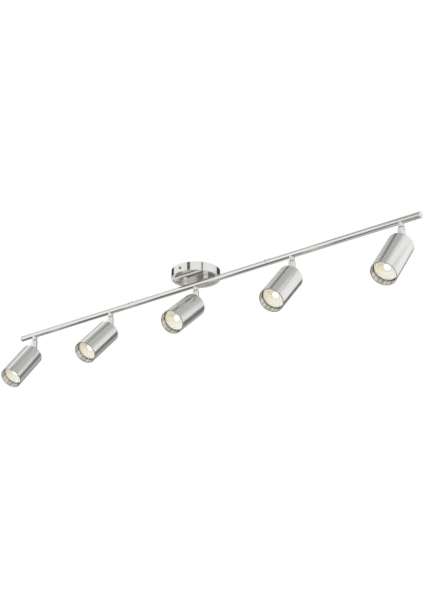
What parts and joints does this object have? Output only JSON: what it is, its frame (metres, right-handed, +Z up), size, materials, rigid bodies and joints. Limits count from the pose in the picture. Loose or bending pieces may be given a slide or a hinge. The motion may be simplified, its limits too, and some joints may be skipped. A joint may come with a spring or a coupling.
{
  "type": "ceiling spot bar",
  "caption": "Ceiling spot bar: a straight tube rail under a round canopy carries cylindrical spots on forks that pan and tilt, each with a recessed reflector lamp.",
  "frame": {"origin": "on the ceiling plane, at the middle of the crossbar's top face, which is the canopy's axis", "axes": "+Z up into the ceiling, +X along the rail, -Y the side that the spots lean to"},
  "size_m": [1.213, 0.1715, 0.1952],
  "materials": {
    "brushed_nickel": "brushed nickel plate with fine grain",
    "polished_nickel": "polished nickel plate",
    "zinc_steel": "dull zinc plate",
    "ground_green": "green dyed screw",
    "ceramic": "unglazed white ceramic",
    "lamp_white": "white lamp housing, satin",
    "lamp_lens": "clear moulded lens over a lit warm white reflector"
  },
  "bodies": {
    "fixture": {"canopy": "polished_nickel", "crossbar": "zinc_steel", "canopy_screw_front": "polished_nickel", "canopy_screw_back": "polished_nickel", "ground_screw": "ground_green", "post_left": "polished_nickel", "post_right": "polished_nickel", "post_nut_left": "zinc_steel", "post_nut_right": "zinc_steel", "rail_left": "brushed_nickel", "rail_center": "brushed_nickel", "rail_right": "brushed_nickel", "rail_joiner_left": "zinc_steel", "rail_joiner_right": "zinc_steel", "rail_screw_left_inner": "polished_nickel", "rail_screw_left_outer": "polished_nickel", "rail_screw_right_inner": "polished_nickel", "rail_screw_right_outer": "polished_nickel", "rail_end_cap_left": "polished_nickel", "rail_end_cap_right": "polished_nickel", "spot_1_collar": "polished_nickel", "spot_2_collar": "polished_nickel", "spot_3_collar": "polished_nickel", "spot_4_collar": "polished_nickel", "spot_5_collar": "polished_nickel"},
    "spot_1_swivel": {"spot_1_fork": "polished_nickel", "spot_1_pivot_screw": "polished_nickel"},
    "spot_1_head": {"spot_1_bracket": "zinc_steel", "spot_1_shell": "brushed_nickel", "spot_1_socket": "ceramic", "spot_1_lamp": "lamp_white", "spot_1_lens": "lamp_lens"},
    "spot_2_swivel": {"spot_2_fork": "polished_nickel", "spot_2_pivot_screw": "polished_nickel"},
    "spot_2_head": {"spot_2_bracket": "zinc_steel", "spot_2_shell": "brushed_nickel", "spot_2_socket": "ceramic", "spot_2_lamp": "lamp_white", "spot_2_lens": "lamp_lens"},
    "spot_3_swivel": {"spot_3_fork": "polished_nickel", "spot_3_pivot_screw": "polished_nickel"},
    "spot_3_head": {"spot_3_bracket": "zinc_steel", "spot_3_shell": "brushed_nickel", "spot_3_socket": "ceramic", "spot_3_lamp": "lamp_white", "spot_3_lens": "lamp_lens"},
    "spot_4_swivel": {"spot_4_fork": "polished_nickel", "spot_4_pivot_screw": "polished_nickel"},
    "spot_4_head": {"spot_4_bracket": "zinc_steel", "spot_4_shell": "brushed_nickel", "spot_4_socket": "ceramic", "spot_4_lamp": "lamp_white", "spot_4_lens": "lamp_lens"},
    "spot_5_swivel": {"spot_5_fork": "polished_nickel", "spot_5_pivot_screw": "polished_nickel"},
    "spot_5_head": {"spot_5_bracket": "zinc_steel", "spot_5_shell": "brushed_nickel", "spot_5_socket": "ceramic", "spot_5_lamp": "lamp_white", "spot_5_lens": "lamp_lens"}
  },
  "joints": [
    {"name": "spot_1_pan", "type": "hinge", "parent": "fixture", "child": "spot_1_swivel", "pos_m": [-0.558, 0, -0.0503], "axis": [0, 0, 1], "range_deg": [-179, 171]},
    {"name": "spot_1_tilt", "type": "hinge", "parent": "spot_1_swivel", "child": "spot_1_head", "pos_m": [-0.558, 0, -0.0841], "axis": [-0.9976, -0.0698, 0], "range_deg": [-130.5, 49.5]},
    {"name": "spot_2_pan", "type": "hinge", "parent": "fixture", "child": "spot_2_swivel", "pos_m": [-0.279, 0, -0.0503], "axis": [0, 0, 1], "range_deg": [-176, 174]},
    {"name": "spot_2_tilt", "type": "hinge", "parent": "spot_2_swivel", "child": "spot_2_head", "pos_m": [-0.279, 0, -0.0841], "axis": [-0.9998, -0.0175, 0], "range_deg": [-135.5, 44.5]},
    {"name": "spot_3_pan", "type": "hinge", "parent": "fixture", "child": "spot_3_swivel", "pos_m": [0, 0, -0.0503], "axis": [0, 0, 1], "range_deg": [-180, 170]},
    {"name": "spot_3_tilt", "type": "hinge", "parent": "spot_3_swivel", "child": "spot_3_head", "pos_m": [0, 0, -0.0841], "axis": [-0.9962, -0.0872, 0], "range_deg": [-141.5, 38.5]},
    {"name": "spot_4_pan", "type": "hinge", "parent": "fixture", "child": "spot_4_swivel", "pos_m": [0.279, 0, -0.0503], "axis": [0, 0, 1], "range_deg": [-176, 174]},
    {"name": "spot_4_tilt", "type": "hinge", "parent": "spot_4_swivel", "child": "spot_4_head", "pos_m": [0.279, 0, -0.0841], "axis": [-0.9998, -0.0175, 0], "range_deg": [-134, 46]},
    {"name": "spot_5_pan", "type": "hinge", "parent": "fixture", "child": "spot_5_swivel", "pos_m": [0.558, 0, -0.0503], "axis": [0, 0, 1], "range_deg": [-170, 180]},
    {"name": "spot_5_tilt", "type": "hinge", "parent": "spot_5_swivel", "child": "spot_5_head", "pos_m": [0.558, 0, -0.0841], "axis": [-0.9962, 0.0872, 0], "range_deg": [-128.5, 51.5]}
  ]
}
